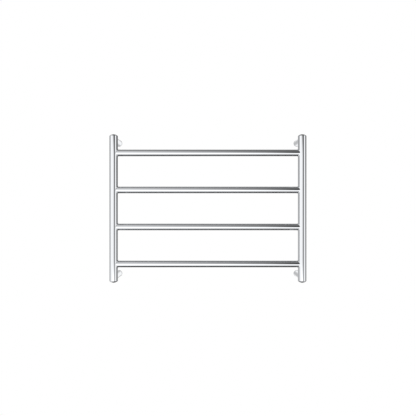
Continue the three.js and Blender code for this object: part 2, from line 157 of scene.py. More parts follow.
class StudioSettings(bpy.types.PropertyGroup):
    """Where the camera, the floor and the lights are, and how strong the lights are."""

    distance: metres("Camera distance", "From the camera to the wall plane", 1.839)
    lens: bpy.props.FloatProperty(name="Lens", description="Focal length in millimetres", default=39.4)
    aim_x: metres("Camera across", "Camera's place right of the middle", 0.4 * MM)
    aim_z: metres("Camera height", "Camera's height above the middle", 1.7 * MM)
    floor_drop: metres("Floor drop", "From the rack's middle down to the floor", 1.2)
    tent_radius: metres("Tent radius", "Radius of the light tent seen in the tubes", 4)
    softbox_power: bpy.props.FloatProperty(
        name="Softbox power", description="Power of each soft light", default=18, unit="POWER"
    )


def sizes():
    """The sizes that are set in the scene."""
    return bpy.context.scene.rack_sizes


def colours():
    """The colours that are set in the scene."""
    return bpy.context.scene.rack_colours


# ------------------------------------------------------------------ mesh making

TUBE_SIDES = 128
TURNED_SIDES = 72
SMALL_SIDES = 40
SHARP = math.radians(35)
ARC_STEPS = 5
WELD_STEPS = 10


def linked(name, data):
    """A new object with its data, linked to the scene."""
    made = bpy.data.objects.new(name, data)
    bpy.context.scene.collection.objects.link(made)
    return made


def finished_mesh(name, bm):
    """A BMesh as a linked object with smooth shading and its hard edges kept."""
    mesh = bpy.data.meshes.new(name)
    bmesh.ops.remove_doubles(bm, verts=bm.verts, dist=1e-7)
    bmesh.ops.recalc_face_normals(bm, faces=bm.faces)
    bm.to_mesh(mesh)
    bm.free()
    mesh.shade_smooth()
    mesh.set_sharp_from_angle(angle=SHARP)
    return linked(name, mesh)


def add_rings(bm, rings, closed):
    """Joins rings of equally many points with quads. A ring of no size becomes a pole."""
    rows = [[bm.verts.new(point) for point in ring] for ring in rings]
    pairs = list(zip(rows, rows[1:]))
    if closed:
        pairs.append((rows[-1], rows[0]))
    for near, far in pairs:
        for i in range(len(near)):
            j = (i + 1) % len(near)
            bm.faces.new((near[i], near[j], far[j], far[i]))


def arc(centre, start, end, steps):
    """Points on the round way about centre, from its arm start to its arm end."""
    sweep = start.angle(end)
    points = []
    for step in range(steps + 1):
        near = start * math.sin((1 - step / steps) * sweep)
        far = end * math.sin(step / steps * sweep)
        points.append(centre + (near + far) / math.sin(sweep))
    return points


def rounded(corners, closed=False):
    """A profile of (radius, along, fillet) corners as points, each corner rounded by its fillet.

    A point stands close to each side of a fillet, so that the flats beside it stay flat in shading.
    """
    points = []
    last = len(corners) - 1
    for i, (radius, along, fillet) in enumerate(corners):
        here = Vector((radius, along))
        if not fillet or (not closed and i in (0, last)):
            points.append(here)
            continue
        before = Vector(corners[i - 1][:2]) - here
        after = Vector(corners[(i + 1) % len(corners)][:2]) - here
        half = before.angle(after) / 2
        back = fillet / math.tan(half)
        hold = 1.15 * back
        centre = here + (before.normalized() + after.normalized()).normalized() * fillet / math.sin(half)
        start = here + before.normalized() * back - centre
        end = here + after.normalized() * back - centre
        if hold < 0.5 * before.length:
            points.append(here + before.normalized() * hold)
        points += arc(centre, start, end, ARC_STEPS)
        if hold < 0.5 * after.length:
            points.append(here + after.normalized() * hold)
    return points


def turns_of(sides):
    """The angles of a ring's points."""
    return [2 * math.pi * i / sides for i in range(sides)]


def turned_rings(profile, origin, axis, sides):
    """Rings of a turned shape: each (radius, along) point goes round the axis through origin."""
    axis = Vector(axis)
    across = Vector((0, 0, 1)).cross(axis)
    if across.length < 0.5:
        across = Vector((1, 0, 0))
    up = axis.cross(across)
    origin = Vector(origin)
    spokes = [across * math.cos(turn) + up * math.sin(turn) for turn in turns_of(sides)]
    return [[origin + axis * along + spoke * radius for spoke in spokes] for radius, along in profile]


def turned(name, profile, origin, axis, sides, closed=False):
    """A turned piece as an object."""
    bm = bmesh.new()
    add_rings(bm, turned_rings(profile, origin, axis, sides), closed)
    return finished_mesh(name, bm)


def flat_ends(made):
    """Makes one face of the triangles that meet on the axis at each flat end, so that holes cut clean."""
    bm = bmesh.new()
    bm.from_mesh(made.data)
    bmesh.ops.dissolve_verts(bm, verts=[vert for vert in bm.verts if len(vert.link_edges) > 8])
    bm.to_mesh(made.data)
    bm.free()
    return made


def evaluated_copy(made):
    """The object's mesh with its modifiers applied and taken off."""
    bpy.context.view_layer.update()
    graph = bpy.context.evaluated_depsgraph_get()
    mesh = bpy.data.meshes.new_from_object(made.evaluated_get(graph), depsgraph=graph)
    made.modifiers.clear()
    old = made.data
    made.data = mesh
    bpy.data.meshes.remove(old)
    return made


def drill(made, cutters):
    """Cuts each cutter object out of a piece, and removes the cutters."""
    for cutter in cutters:
        hole = made.modifiers.new("Hole", "BOOLEAN")
        hole.operation = "DIFFERENCE"
        hole.solver = "EXACT"
        hole.object = cutter
        evaluated_copy(made)
        bpy.data.objects.remove(cutter)
    made.data.set_sharp_from_angle(angle=SHARP)
    return made


def drill_bit(radius, start, end, sides=SMALL_SIDES):
    """A plain round cutter from start to end."""
    start = Vector(start)
    run = Vector(end) - start
    profile = [(0, 0), (radius, 0), (radius, run.length), (0, run.length)]
    return turned("drill_bit", profile, start, run.normalized(), sides)


# ------------------------------------------------------------------ node trees


def add_node(tree, kind, inputs=None, stops=None, **settings):
    """Adds a node with its settings. inputs gives sockets, by name or number, a value, another node's
    output, or a node, which stands for its first output. stops gives a colour ramp its (place, linear
    colour) pairs."""
    made = tree.nodes.new(kind)
    for key, value in settings.items():
        setattr(made, key, value)
    for key, value in (inputs or {}).items():
        if isinstance(value, bpy.types.Node):
            value = value.outputs[0]
        if isinstance(value, bpy.types.NodeSocket):
            tree.links.new(value, made.inputs[key])
        else:
            made.inputs[key].default_value = value
    if stops:
        elements = made.color_ramp.elements
        while len(elements) > 1:
            elements.remove(elements[-1])
        elements[0].position, elements[0].color = stops[0]
        for place, colour in stops[1:]:
            elements.new(place).color = colour
    return made


def geometry_tree(name, sockets):
    """A geometry node tree with its own geometry in and out, the inputs named and a material. Returns the
    tree and its inputs."""
    tree = bpy.data.node_groups.new(name, "GeometryNodeTree")
    tree.interface.new_socket("Geometry", in_out="INPUT", socket_type="NodeSocketGeometry")
    for label, kind in {**sockets, "Material": "Material"}.items():
        tree.interface.new_socket(label, in_out="INPUT", socket_type="NodeSocket" + kind)
    tree.interface.new_socket("Geometry", in_out="OUTPUT", socket_type="NodeSocketGeometry")
    return tree, add_node(tree, "NodeGroupInput").outputs


def close_tree(tree, geometry, material):
    """Ends a tree in Realize Instances and Set Material."""
    real = add_node(tree, "GeometryNodeRealizeInstances", {"Geometry": geometry})
    painted = add_node(tree, "GeometryNodeSetMaterial", {"Geometry": real, "Material": material})
    add_node(tree, "NodeGroupOutput", {"Geometry": painted})


def grow(made, tree, values):
    """Runs a tree on an object with its inputs set by identifier, and keeps the result as plain mesh."""
    growth = made.modifiers.new(tree.name, "NODES")
    growth.node_group = tree
    for item in tree.interface.items_tree:
        if item.in_out == "INPUT" and item.name in values:
            growth[item.identifier] = values[item.name]
    return evaluated_copy(made)


def line_object(name, points):
    """A chain of points as an object, for a tree to sweep along."""
    mesh = bpy.data.meshes.new(name)
    mesh.from_pydata([tuple(point) for point in points], [(i, i + 1) for i in range(len(points) - 1)], [])
    return linked(name, mesh)


def cable_along(name, points, radius, sides, material):
    """A round cable along a chain of points."""
    values = {"Radius": radius, "Sides": sides, "Material": material}
    cable = grow(line_object(name, points), sweep_tree(), values)
    cable.data.set_sharp_from_angle(angle=SHARP)
    return cable


def repeat_tree():
    """Repeats the object's own mesh in a straight row."""
    tree, given = geometry_tree("Repeat in a row", {"Count": "Int", "Step": "Vector"})
    row = add_node(tree, "GeometryNodeMeshLine", {"Count": given["Count"], "Offset": given["Step"]})
    copies = add_node(
        tree, "GeometryNodeInstanceOnPoints", {"Points": row, "Instance": given["Geometry"]}
    )
    close_tree(tree, copies, given["Material"])
    return tree


def sweep_tree():
    """Sweeps a round section along the object's own line, and notes where each point is round it."""
    tree, given = geometry_tree("Cable along a line", {"Radius": "Float", "Sides": "Int"})
    line = add_node(tree, "GeometryNodeMeshToCurve", {"Mesh": given["Geometry"]})
    section = add_node(
        tree,
        "GeometryNodeCurvePrimitiveCircle",
        {"Resolution": given["Sides"], "Radius": given["Radius"]},
    )
    around = add_node(tree, "GeometryNodeSplineParameter")
    noted = add_node(
        tree,
        "GeometryNodeStoreNamedAttribute",
        {"Geometry": section, "Name": "around", "Value": around},
        data_type="FLOAT",
        domain="POINT",
    )
    swept = add_node(
        tree, "GeometryNodeCurveToMesh", {"Curve": line, "Profile Curve": noted, "Fill Caps": True}
    )
    close_tree(tree, swept, given["Material"])
    return tree


def thread_tree():
    """Winds a screw thread's ridge round the object's own mesh."""
    sizes_in = {"Radius": "Float", "Pitch": "Float", "Turns": "Float"}
    tree, given = geometry_tree("Screw thread", {**sizes_in, "Start": "Vector", "Turn": "Vector"})
    height = add_node(
        tree, "ShaderNodeMath", {0: given["Pitch"], 1: given["Turns"]}, operation="MULTIPLY"
    )
    ridge = add_node(tree, "ShaderNodeMath", {0: given["Pitch"], 1: THREAD_RIDGE}, operation="MULTIPLY")
    helix = add_node(
        tree,
        "GeometryNodeCurveSpiral",
        {
            "Resolution": 32,
            "Rotations": given["Turns"],
            "Start Radius": given["Radius"],
            "End Radius": given["Radius"],
            "Height": height,
        },
    )
    section = add_node(tree, "GeometryNodeCurvePrimitiveCircle", {"Resolution": 4, "Radius": ridge})
    wound = add_node(
        tree, "GeometryNodeCurveToMesh", {"Curve": helix, "Profile Curve": section, "Fill Caps": True}
    )
    placed = add_node(
        tree,
        "GeometryNodeTransform",
        {"Geometry": wound, "Translation": given["Start"], "Rotation": given["Turn"]},
    )
    both = add_node(tree, "GeometryNodeJoinGeometry", {"Geometry": given["Geometry"]})
    tree.links.new(placed.outputs["Geometry"], both.inputs["Geometry"])
    close_tree(tree, both, given["Material"])
    return tree


def ring_tree():
    """Puts a round ring of round section, lying flat, at each of the object's own points."""
    tree, given = geometry_tree("Rings at points", {"Ring radius": "Float", "Section radius": "Float"})
    ring = add_node(
        tree,
        "GeometryNodeCurvePrimitiveCircle",
        {"Resolution": TURNED_SIDES, "Radius": given["Ring radius"]},
    )
    section = add_node(
        tree, "GeometryNodeCurvePrimitiveCircle", {"Resolution": 16, "Radius": given["Section radius"]}
    )
    swept = add_node(tree, "GeometryNodeCurveToMesh", {"Curve": ring, "Profile Curve": section})
    copies = add_node(
        tree, "GeometryNodeInstanceOnPoints", {"Points": given["Geometry"], "Instance": swept}
    )
    close_tree(tree, copies, given["Material"])
    return tree


# ------------------------------------------------------------------ finishes


def linear(text):
    """An sRGB hex colour, or a grey from 0 to 255, as linear red, green, blue and alpha."""
    if isinstance(text, str):
        shares = [int(text[i : i + 2], 16) / 255 for i in (1, 3, 5)]
    else:
        shares = [text / 255] * 3
    low = [share / 12.92 if share <= 0.04045 else ((share + 0.055) / 1.055) ** 2.4 for share in shares]
    return (*low, 1.0)


def new_material(name, base, **sockets):
    """A node material named for its finish, with its constant sockets set on the shader itself."""
    material = bpy.data.materials.new(name)
    material.use_nodes = True
    tree = material.node_tree
    tree.nodes.clear()
    shader = add_node(tree, "ShaderNodeBsdfPrincipled", {"Base Color": base, **sockets})
    add_node(tree, "ShaderNodeOutputMaterial", {"Surface": shader})
    place = add_node(tree, "ShaderNodeTexCoord").outputs["Object"]
    return material, tree, shader, place


def surface(tree, shader, gloss, rough, height, strength, depth):
    """Roughness that follows gloss from one value to another, and a bump that follows height."""
    limits = {"From Min": 0.3, "From Max": 0.7, "To Min": rough[0], "To Max": rough[1]}
    dull = add_node(tree, "ShaderNodeMapRange", {"Value": gloss, **limits})
    bump = add_node(tree, "ShaderNodeBump", {"Height": height, "Strength": strength, "Distance": depth})
    tree.links.new(dull.outputs["Result"], shader.inputs["Roughness"])
    tree.links.new(bump.outputs["Normal"], shader.inputs["Normal"])


def polished_stainless(name, lengthwise):
    """Mirror-polished 304 stainless tube, buffed along its length. The eye gets sharp reflections with a
    very faint draw along the tube, and a slightly hazier patch here and there."""
    colour = linear(colours().stainless)
    material, tree, shader, place = new_material(name, colour, **{"Metallic": 1.0})
    # Buffing lines are about 0.05 mm apart. They are drawn at 0.9 mm, the finest that shows.
    across, along = 1 / (0.9 * MM), 1 / (60 * MM)
    scale = [across] * 3
    scale[lengthwise] = along
    lines_at = add_node(tree, "ShaderNodeMapping", {"Vector": place, "Scale": scale})
    lines = add_node(tree, "ShaderNodeTexNoise", {"Vector": lines_at, "Scale": 1.0, "Detail": 2.0})
    # Haze from handling and drying comes in patches of about 35 mm.
    haze = add_node(tree, "ShaderNodeTexNoise", {"Vector": place, "Scale": 1 / (35 * MM), "Detail": 3.0})
    surface(tree, shader, haze, (0.03, 0.05), lines, 0.2, 0.002 * MM)
    return material


def turned_stainless():
    """Stainless bar, faced and turned on a lathe and left so. The eye gets fine rings round each boss's
    axis and a satin highlight."""
    colour = linear(colours().turned)
    material, tree, shader, place = new_material("turned_stainless", colour, **{"Metallic": 1.0})
    parts = add_node(tree, "ShaderNodeSeparateXYZ", {"Vector": place})
    offsets = []
    for axis, centre in (("X", POST_X), ("Z", LEG_Z)):
        size = add_node(tree, "ShaderNodeMath", {0: parts.outputs[axis]}, operation="ABSOLUTE")
        offsets.append(add_node(tree, "ShaderNodeMath", {0: size, 1: centre}, operation="SUBTRACT"))
    flat = add_node(tree, "ShaderNodeCombineXYZ", {"X": offsets[0], "Y": offsets[1]})
    radius = add_node(tree, "ShaderNodeVectorMath", {0: flat}, operation="LENGTH")
    # The tool's feed is 0.15 mm a turn. The rings are drawn 0.6 mm apart, the finest that shows.
    rings = add_node(
        tree,
        "ShaderNodeMath",
        {0: radius.outputs["Value"], 1: 2 * math.pi / (0.6 * MM)},
        operation="MULTIPLY",
    )
    wave = add_node(tree, "ShaderNodeMath", {0: rings}, operation="SINE")
    grain = add_node(tree, "ShaderNodeTexNoise", {"Vector": place, "Scale": 1 / (2 * MM), "Detail": 4.0})
    surface(tree, shader, grain, (0.2, 0.34), wave, 0.3, 0.01 * MM)
    return material


def mottled(name, base, spot_mm, rough_low, rough_high, depth_mm, tone=0.82, **sockets):
    """A finish with a mottled colour and gloss and a fine grain of one real size. tone is how dark its
    darkest spots are beside the base colour."""
    pale = linear(base)
    dark = tuple(channel * tone for channel in pale[:3]) + (1.0,)
    material, tree, shader, place = new_material(name, pale, **sockets)
    grain = add_node(
        tree, "ShaderNodeTexNoise", {"Vector": place, "Scale": 1 / (spot_mm * MM), "Detail": 4.0}
    )
    colour = add_node(tree, "ShaderNodeValToRGB", {"Fac": grain}, stops=[(0.32, dark), (0.6, pale)])
    surface(tree, shader, grain, (rough_low, rough_high), grain, 0.5, depth_mm * MM)
    tree.links.new(colour.outputs["Color"], shader.inputs["Base Color"])
    return material


def screw_steel():
    """A2 stainless screws, rolled and tumbled. The eye gets a grey satin with small dents."""
    return mottled("tumbled_screw_steel", colours().screw, 0.8, 0.28, 0.45, 0.01, **{"Metallic": 1.0})


def seal_rubber():
    """Moulded EPDM. The eye gets a deep matt black with a faint moulding grain."""
    return mottled("moulded_epdm_rubber", colours().rubber, 0.5, 0.6, 0.8, 0.02, **{"IOR": 1.52})


def heating_silicone():
    """Extruded silicone over the heating wire. The eye gets a soft brick-red sheen."""
    return mottled(
        "extruded_silicone", colours().silicone, 1.5, 0.42, 0.6, 0.03, **{"IOR": 1.43, "Sheen Weight": 0.15}
    )


def flex_sheath():
    """Extruded PVC sheath. The eye gets a smooth off-white with a soft gloss."""
    return mottled("extruded_pvc", colours().flex, 2, 0.35, 0.5, 0.02, **{"IOR": 1.53})


def heat_shrink():
    """Shrunk polyolefin tube. The eye gets a black skin, a little wrinkled where it shrank."""
    return mottled("shrunk_polyolefin", colours().shrink, 3, 0.4, 0.62, 0.12, **{"IOR": 1.49})


def tinned_brass():
    """Stamped brass with a tin coat. The eye gets a warm silver, dull where it is crimped."""
    return mottled("tinned_brass", colours().tinned, 0.6, 0.25, 0.42, 0.01, **{"Metallic": 1.0})


def earth_insulation():
    """Two-colour extruded PVC on the earth wire. The eye gets a yellow stripe along green."""
    names = colours()
    material = mottled("striped_pvc", names.earth_green, 1.5, 0.36, 0.52, 0.02, **{"IOR": 1.53})
    tree = material.node_tree
    shader = next(node for node in tree.nodes if node.type == "BSDF_PRINCIPLED")
    around = add_node(tree, "ShaderNodeAttribute", attribute_name="around")
    stripe = add_node(
        tree,
        "ShaderNodeValToRGB",
        {"Fac": around.outputs["Fac"]},
        stops=[(0.0, linear(names.earth_green)), (0.55, linear(names.earth_yellow))],
    )
    stripe.color_ramp.interpolation = "CONSTANT"
    tree.links.new(stripe.outputs["Color"], shader.inputs["Base Color"])
    return material


def dress(made, material, slot, body, *nodes):
    """Gives a piece its one material and its body, and hides the CAD nodes it stands for. slot is not used.
    """
    if material:
        made.data.materials.clear()
        made.data.materials.append(material)
    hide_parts(*nodes)
    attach(made, body)
    return made


# ------------------------------------------------------------------ tube ends


def coped_end(radius, bore, weld):
    """Rings of a tube's end that is coped and welded to a post, from its bore out to its own surface.

    Each point is (out from the post's axis, across the post, along the post). weld gives the weld's
    radius at a turn round the tube. A ball of that radius, rolled in the corner between tube and post,
    leaves the weld's surface. The end itself is sunk into the post's wall, so no seam shows.
    """
    sunk = POST_RADIUS - SUNK
    inner, edge, hold = [], [], []
    arcs = [[] for _ in range(WELD_STEPS + 1)]
    for turn in turns_of(TUBE_SIDES):
        ball = weld(turn)
        side, rise = math.cos(turn), math.sin(turn)
        reach = math.sqrt((POST_RADIUS + ball) ** 2 - ((radius + ball) * side) ** 2)
        centre = Vector((reach, (radius + ball) * side, (radius + ball) * rise))
        on_tube = Vector((reach, radius * side, radius * rise))
        shrink = POST_RADIUS / (POST_RADIUS + ball)
        on_post = Vector((centre.x * shrink, centre.y * shrink, centre.z))
        inner.append(Vector((math.sqrt(sunk**2 - (bore * side) ** 2), bore * side, bore * rise)))
        edge.append(Vector((on_post.x * sunk / POST_RADIUS, on_post.y * sunk / POST_RADIUS, on_post.z)))
        for ring, point in zip(arcs, arc(centre, on_post - centre, on_tube - centre, WELD_STEPS)):
            ring.append(point)
        hold.append(on_tube + Vector((HOLD, 0, 0)))
    return [inner, edge, *arcs, hold]


class RACK_OT_posts(bpy.types.Operator):
    """Builds the two posts, drilled behind each bar and at the supply leg"""

    bl_idname = "towel_rack.posts"
    bl_label = "Posts"

    def execute(self, context):
        bore = POST_RADIUS - sizes().post_wall
        material = polished_stainless("polished_stainless_upright", Z)
        seat = RACK_TOP - sizes().cap_crown
        end = seat - sizes().cap_seam / 2
        rows = [height + step * (BAR_WAY + GUARD) for height in BAR_HEIGHTS for step in (-1, 1)]
        rows += [side * LEG_Z + step * (SUPPLY_WAY + GUARD) for side in (-1, 1) for step in (-1, 1)]
        rows.sort()
        corner = 0.2 * MM
        outer = [(POST_RADIUS, -end, corner)]
        outer += [(POST_RADIUS, row, 0) for row in rows]
        outer += [(POST_RADIUS, end, corner), (bore, end, corner)]
        outer += [(bore, row, 0) for row in reversed(rows)]
        outer += [(bore, -end, corner)]
        profile = rounded(outer, closed=True)
        for name, side in (("left_post", -1), ("right_post", 1)):
            place = (side * POST_X, POST_Y, 0)
            post = turned(name + "_tube", profile, place, (0, 0, 1), TUBE_SIDES, closed=True)
            inward = side * (POST_X - POST_RADIUS - OVERRUN)
            bits = []
            for height in BAR_HEIGHTS:
                start = (side * POST_X, POST_Y, height)
                bits.append(drill_bit(BAR_WAY, start, (inward, POST_Y, height)))
            if side == SUPPLY_SIDE:
                start = (side * POST_X, POST_Y, -LEG_Z)
                behind = (side * POST_X, POST_Y + POST_RADIUS + OVERRUN, -LEG_Z)
                bits.append(drill_bit(SUPPLY_WAY, start, behind))
            drill(post, bits)
            dress(post, material, "polished_stainless", "rack", name)
        return {"FINISHED"}


class RACK_OT_bars(bpy.types.Operator):
    """Builds the top bar with its polished welds, and repeats it down the ladder"""

    bl_idname = "towel_rack.bars"
    bl_label = "Towel bars"

    def execute(self, context):
        ball = sizes().bar_weld
        rings = coped_end(BAR_RADIUS, BAR_RADIUS - sizes().bar_wall, lambda turn: ball)
        top = BAR_HEIGHTS[0]
        right = [[(POST_X - out, POST_Y + side, top + rise) for out, side, rise in ring] for ring in rings]
        left = [[(-x, y, z) for x, y, z in ring] for ring in right]
        bm = bmesh.new()
        add_rings(bm, [*right, *reversed(left)], closed=True)
        bars = finished_mesh("towel_bars", bm)
        material = polished_stainless("polished_stainless_across", X)
        step = (BAR_HEIGHTS[-1] - top) / (len(BAR_HEIGHTS) - 1)
        values = {"Count": len(BAR_HEIGHTS), "Step": (0, 0, step), "Material": material}
        grow(bars, repeat_tree(), values)
        dress(bars, material, "polished_stainless", "rack", *BAR_NAMES)
        return {"FINISHED"}


class RACK_OT_legs(bpy.types.Operator):
    """Builds the four legs, welded to the posts and drilled for their grub screws"""

    bl_idname = "towel_rack.legs"
    bl_label = "Legs"

    def execute(self, context):
        material = polished_stainless("polished_stainless_leg", Y)
        bore = LEG_RADIUS - sizes().leg_wall
        foot = LEG_FOOT - POST_Y
        corner = 0.5 * MM
        corners = [(LEG_RADIUS, 0, 0), (LEG_RADIUS, foot, corner), (bore, foot, corner), (bore, 0, 0)]
        mouth = rounded(corners)
        guards = [GRUB_Y - POST_Y + step * GRUB_GUARD for step in (-1, 1)]
        spokes = [(math.cos(turn), math.sin(turn)) for turn in turns_of(TUBE_SIDES)]
        for name, (side, level) in CORNERS.items():
            # The weld thins out towards the post's end, because the cap starts there.
            def weld(turn):
                return sizes().leg_weld * (0.55 - 0.45 * math.sin(turn) * level)

            rings = coped_end(LEG_RADIUS, bore, weld)
            ends = [(LEG_RADIUS, row) for row in guards] + mouth[1:-1]
            ends += [(bore, row) for row in reversed(guards)]
            for radius, along in ends:
                rings.append([(along, radius * across, radius * rise) for across, rise in spokes])
            x, z = side * POST_X, level * LEG_Z
            placed = [[(x + side, POST_Y + out, z + rise) for out, side, rise in ring] for ring in rings]
            bm = bmesh.new()
            add_rings(bm, placed, closed=True)
            leg = finished_mesh(name + "_leg_tube", bm)
            below = (x, GRUB_Y, z - LEG_RADIUS - OVERRUN)
            drill(leg, [drill_bit(GRUB_RADIUS + 0.1 * MM, (x, GRUB_Y, z), below)])
            dress(leg, material, "polished_stainless", "rack", name + "_leg")
        return {"FINISHED"}


class RACK_OT_end_caps(bpy.types.Operator):
    """Builds the four domed end caps with their grooved plugs"""

    bl_idname = "towel_rack.end_caps"
    bl_label = "End caps"

    def execute(self, context):
        material = polished_stainless("polished_stainless_cap", Z)
        crown = sizes().cap_crown
        seam = sizes().cap_seam / 2
        lift = seam + 0.4 * MM  # the dome's rim
        depth = CAP_DEPTH - crown
        plug = POST_RADIUS - sizes().post_wall - 0.6 * MM
        hollow = plug - 3.4 * MM
        groove = width("upper_right_cap_seal", X) / 2 - 2.1 * MM
        half = 1.2 * MM  # of the groove's width
        under = -1.2 * MM  # the dome's underside
        dome = (POST_RADIUS**2 + crown**2) / (2 * crown)
        spread = math.asin(POST_RADIUS / dome)
        corners = [
            (0, under, 0),
            (hollow, under, 0.5 * MM),
            (hollow, -depth, 0.3 * MM),
            (plug, -depth, 0.5 * MM),
            (plug, -depth / 2 - half, 0.15 * MM),
            (groove, -depth / 2 - half, 0.2 * MM),
            (groove, -depth / 2 + half, 0.2 * MM),
            (plug, -depth / 2 + half, 0.15 * MM),
            (plug, seam, 0.2 * MM),
            (POST_RADIUS, seam, 0.12 * MM),
            (POST_RADIUS, lift, sizes().cap_shoulder),
        ]
        steps = 12
        for step in range(steps - 1, -1, -1):
            angle = spread * step / steps
            rise = crown - dome * (1 - math.cos(angle))
            corners.append((dome * math.sin(angle), lift + rise * (crown - lift) / crown, 0))
        profile = rounded(corners)
        for name, (side, level) in CORNERS.items():
            place = (side * POST_X, POST_Y, level * (RACK_TOP - crown))
            cap = turned(name + "_domed_cap", profile, place, (0, 0, level), TUBE_SIDES)
            dress(cap, material, "polished_stainless", "rack", name + "_end_cap")
        return {"FINISHED"}


class RACK_OT_cap_seals(bpy.types.Operator):
    """Builds the sealing rings in the grooves of the four caps"""

    bl_idname = "towel_rack.cap_seals"
    bl_label = "Cap seals"

    def execute(self, context):
        names = [name + "_cap_seal" for name in CORNERS]
        section = 0.9 * MM
        places = bpy.data.meshes.new("cap_seals")
        places.from_pydata([tuple(middle(name)) for name in names], [], [])
        seals = linked("cap_seals", places)
        material = seal_rubber()
        values = {
            "Ring radius": width(names[0], X) / 2 - section,
            "Section radius": section,
            "Material": material,
        }
        grow(seals, ring_tree(), values)
        seals.data.shade_smooth()
        dress(seals, material, "seal_rubber", "rack", *names)
        return {"FINISHED"}


class RACK_OT_wall_bosses(bpy.types.Operator):
    """Builds the four turned wall bosses with their screw and cable holes"""

    bl_idname = "towel_rack.wall_bosses"
    bl_label = "Wall bosses"

    def execute(self, context):
        material = turned_stainless()
        bore = LEG_RADIUS - sizes().leg_wall
        spigot = bore - GAP
        cup = spigot - sizes().spigot_wall
        flange = -(LEG_FOOT + GAP)
        web = 4 * MM
        profile = rounded(
            [
                (0, web, 0),
                (cup, web, 0.5 * MM),
                (cup, BOSS_DEPTH, 0.25 * MM),
                (spigot, BOSS_DEPTH, 0.6 * MM),
                (spigot, flange, 0.2 * MM),
                (FLANGE_RADIUS, flange, 0.5 * MM),
                (FLANGE_RADIUS, 0, 0.3 * MM),
                (0, 0, 0),
            ]
        )
        low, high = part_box("cable_grommet")
        cable_hole = (high.x - low.x) / 2 - 0.5 * MM
        cable_drop = -LEG_Z - (low.z + high.z) / 2
        screw_hole = 2.6 * MM
        screw_rise = cup - 4.3 * MM
        for name, (side, level) in CORNERS.items():
            x, z = side * POST_X, level * LEG_Z
            boss = flat_ends(turned(name + "_turned_boss", profile, (x, 0, z), (0, -1, 0), TUBE_SIDES))
            bits = []
            for radius, offset in ((screw_hole, screw_rise), (cable_hole, -cable_drop)):
                bits.append(drill_bit(radius, (x, MM, z + offset), (x, -web - MM, z + offset)))
            drill(boss, bits)
            dress(boss, material, "turned_stainless", "wall_brackets", name + "_wall_boss")
        return {"FINISHED"}


class RACK_OT_grub_screws(bpy.types.Operator):
    """Builds the four grub screws, each with a rolled thread and a hexagon socket"""

    bl_idname = "towel_rack.grub_screws"
    bl_label = "Grub screws"

    def execute(self, context):
        material = screw_steel()
        tree = thread_tree()
        pitch = 0.7 * MM
        core = GRUB_RADIUS - THREAD_RIDGE * pitch
        flats, socket = 2 * MM, 1.6 * MM
        for name in CORNERS:
            node = name + "_grub_screw"
            low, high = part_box(node)
            centre = (low + high) / 2
            length = high.z - low.z
            profile = rounded([(0, 0, 0), (core, 0, 0.3 * MM), (core, length, 0.3 * MM), (0, length, 0)])
            foot = (centre.x, centre.y, low.z)
            screw = turned(name + "_socket_grub", profile, foot, (0, 0, 1), SMALL_SIDES)
            mouth = (centre.x, centre.y, low.z - MM)
            bottom = (centre.x, centre.y, low.z + socket)
            drill(screw, [drill_bit(flats / math.sqrt(3), mouth, bottom, sides=6)])
            values = {
                "Radius": core,
                "Pitch": pitch,
                "Turns": (length - 1.2 * pitch) / pitch,
                "Start": (centre.x, centre.y, low.z + 0.6 * pitch),
                "Turn": (0.0, 0.0, 0.0),
                "Material": material,
            }
            grow(screw, tree, values)
            dress(screw, material, "screw_steel", name + "_grub", node)
        return {"FINISHED"}


# ------------------------------------------------------------------ heating and wiring


def square_route(points, bend):
    """A route with square corners as a chain of points, each corner rounded to the bend's radius."""
    steps = 12
    chain = [points[0]]
    for before, here, after in zip(points, points[1:], points[2:]):
        way = (here - before).normalized()
        onward = (after - here).normalized()
        centre = here - way * bend + onward * bend
        for step in range(steps + 1):
            turn = math.pi / 2 * step / steps
            chain.append(centre - onward * bend * math.cos(turn) + way * bend * math.sin(turn))
    chain.append(points[-1])
    return chain


def smooth_route(points):
    """A smooth chain through a few points, by Catmull and Rom's curve."""
    steps = 8
    padded = [2 * points[0] - points[1], *points, 2 * points[-1] - points[-2]]
    chain = []
    for a, b, c, d in zip(padded, padded[1:], padded[2:], padded[3:]):
        for step in range(steps):
            t = step / steps
            near = 2 * b + (c - a) * t + (2 * a - 5 * b + 4 * c - d) * t**2
            chain.append((near + (3 * b - a - 3 * c + d) * t**3) / 2)
    chain.append(points[-1])
    return chain


def shrunk_sleeve(name, radius, grip, length, start, axis):
    """A sleeve shrunk on to its cable: full in the middle, waisted once, and drawn in at both ends."""
    lip = 2.2 * MM
    corners = [
        (0, 0, 0),
        (grip, 0, 0.3 * MM),
        (grip + 0.3 * MM, lip, 0.8 * MM),
        (radius * 0.97, 2 * lip, 1.5 * MM),
        (radius, 0.3 * length, 2 * MM),
        (radius * 0.95, 0.5 * length, 2 * MM),
        (radius, 0.7 * length, 2 * MM),
        (radius * 0.97, length - 2 * lip, 1.5 * MM),
        (grip + 0.3 * MM, length - lip, 0.8 * MM),
        (grip, length, 0.3 * MM),
        (0, length, 0),
    ]
    return turned(name, rounded(corners), start, axis, TURNED_SIDES)


